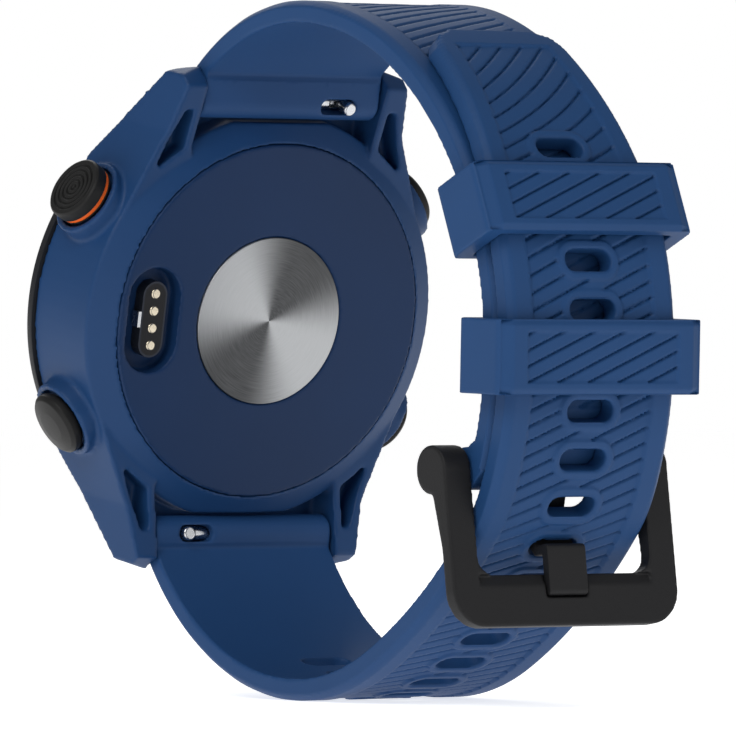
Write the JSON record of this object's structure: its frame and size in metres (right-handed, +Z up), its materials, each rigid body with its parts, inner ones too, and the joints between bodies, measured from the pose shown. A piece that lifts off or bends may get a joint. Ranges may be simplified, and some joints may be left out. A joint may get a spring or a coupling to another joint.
{
  "type": "golf gps watch",
  "caption": "Round sports watch with a wide lens, side buttons, a back charging port, quick-release bars and a buckled silicone strap with sliding keepers.",
  "frame": {"origin": "on the ground under the middle of the box round the buckled, upright watch; X = 0 is the middle of the strap's width", "axes": "+Z up, +Y from the watch head towards the strap's buckle side so the display faces -Y, +X towards three o'clock"},
  "size_m": [0.0448, 0.0732, 0.0696],
  "materials": {
    "case_blue": "satin",
    "cover_blue": "matte",
    "plate_steel": "radially brushed",
    "seal_rubber": "matte",
    "port_black": "matte",
    "contact_gold": "polished",
    "rim_metal": "satin",
    "bright_steel": "satin",
    "lead_amber": "satin",
    "bezel_black": "fine grained",
    "lens_glass": "polished",
    "display_dark": "gloss",
    "light_sheet": "matte",
    "inner_grey": "matte",
    "antenna_copper": "satin",
    "board_green": "satin",
    "battery_foil": "satin",
    "beeper_brass": "satin",
    "strap_blue": "matte",
    "cap_black": "satin",
    "accent_orange": "satin",
    "buckle_black": "fine grained"
  },
  "bodies": {
    "watch": {"case_body": "case_blue", "back_cover": "cover_blue", "back_plate": "plate_steel", "back_gasket": "seal_rubber", "port_block": "port_black", "port_contacts": "contact_gold", "port_rim": "rim_metal", "port_detent": "bright_steel", "port_lead": "lead_amber", "bezel_ring": "bezel_black", "lens": "lens_glass", "display_panel": "display_dark", "backlight_sheet": "light_sheet", "inner_frame": "inner_grey", "antenna": "antenna_copper", "main_board": "board_green", "board_screws": "bright_steel", "battery": "battery_foil", "beeper_disc": "beeper_brass", "button_switches": "port_black", "button_seals": "seal_rubber", "top_bar_tube": "bright_steel", "top_bar_fixed_plunger": "bright_steel", "top_bar_spring": "bright_steel", "bottom_bar_tube": "bright_steel", "bottom_bar_fixed_plunger": "bright_steel", "bottom_bar_spring": "bright_steel", "buckle_strap": "strap_blue", "tail_strap": "strap_blue"},
    "start_button": {"start_button_cap": "cap_black", "accent_ring": "accent_orange", "start_button_stem": "bright_steel", "start_button_clip": "bright_steel"},
    "back_button": {"back_button_cap": "cap_black", "back_button_stem": "bright_steel", "back_button_clip": "bright_steel"},
    "light_button": {"light_button_cap": "cap_black", "light_button_stem": "bright_steel", "light_button_clip": "bright_steel"},
    "page_button": {"page_button_cap": "cap_black", "page_button_stem": "bright_steel", "page_button_clip": "bright_steel"},
    "top_bar_slider": {"top_bar_knob": "bright_steel"},
    "bottom_bar_slider": {"bottom_bar_knob": "bright_steel"},
    "upper_keeper": {"upper_keeper": "strap_blue"},
    "lower_keeper": {"lower_keeper": "strap_blue"},
    "buckle": {"buckle_frame": "buckle_black", "buckle_pin": "bright_steel"},
    "tongue": {"buckle_tongue": "buckle_black"}
  },
  "joints": [
    {"name": "start_button_press", "type": "slide", "parent": "watch", "child": "start_button", "axis": [-0.8616, -0.0977, -0.498], "range_m": [0, 0.0006], "stiffness_N_per_m": 2000, "springref_m": -0.0004},
    {"name": "back_button_press", "type": "slide", "parent": "watch", "child": "back_button", "axis": [-0.8616, 0.0977, 0.498], "range_m": [0, 0.0006], "stiffness_N_per_m": 2000, "springref_m": -0.0004},
    {"name": "light_button_press", "type": "slide", "parent": "watch", "child": "light_button", "axis": [0.8616, -0.0977, -0.498], "range_m": [0, 0.0006], "stiffness_N_per_m": 2000, "springref_m": -0.0004},
    {"name": "page_button_press", "type": "slide", "parent": "watch", "child": "page_button", "axis": [0.8616, 0.0977, 0.498], "range_m": [0, 0.0006], "stiffness_N_per_m": 2000, "springref_m": -0.0004},
    {"name": "top_bar_release", "type": "slide", "parent": "watch", "child": "top_bar_slider", "axis": [1, 0, 0], "range_m": [0, 0.0013], "stiffness_N_per_m": 800, "springref_m": -0.001},
    {"name": "bottom_bar_release", "type": "slide", "parent": "watch", "child": "bottom_bar_slider", "axis": [-1, 0, 0], "range_m": [0, 0.0013], "stiffness_N_per_m": 800, "springref_m": -0.001},
    {"name": "upper_keeper_slide", "type": "hinge", "parent": "watch", "child": "upper_keeper", "pos_m": [0, -0.00024, 0.03534], "axis": [1, 0, 0], "range_deg": [-4, 4]},
    {"name": "lower_keeper_slide", "type": "hinge", "parent": "watch", "child": "lower_keeper", "pos_m": [0, -0.00024, 0.03534], "axis": [1, 0, 0], "range_deg": [-5, 6]},
    {"name": "buckle_hinge", "type": "hinge", "parent": "watch", "child": "buckle", "pos_m": [0, 0.0274, 0.02337], "axis": [1, 0, 0], "range_deg": [-8, 0]},
    {"name": "tongue_hinge", "type": "hinge", "parent": "watch", "child": "tongue", "pos_m": [0, 0.0274, 0.02337], "axis": [1, 0, 0], "range_deg": [0, 3.5]}
  ]
}
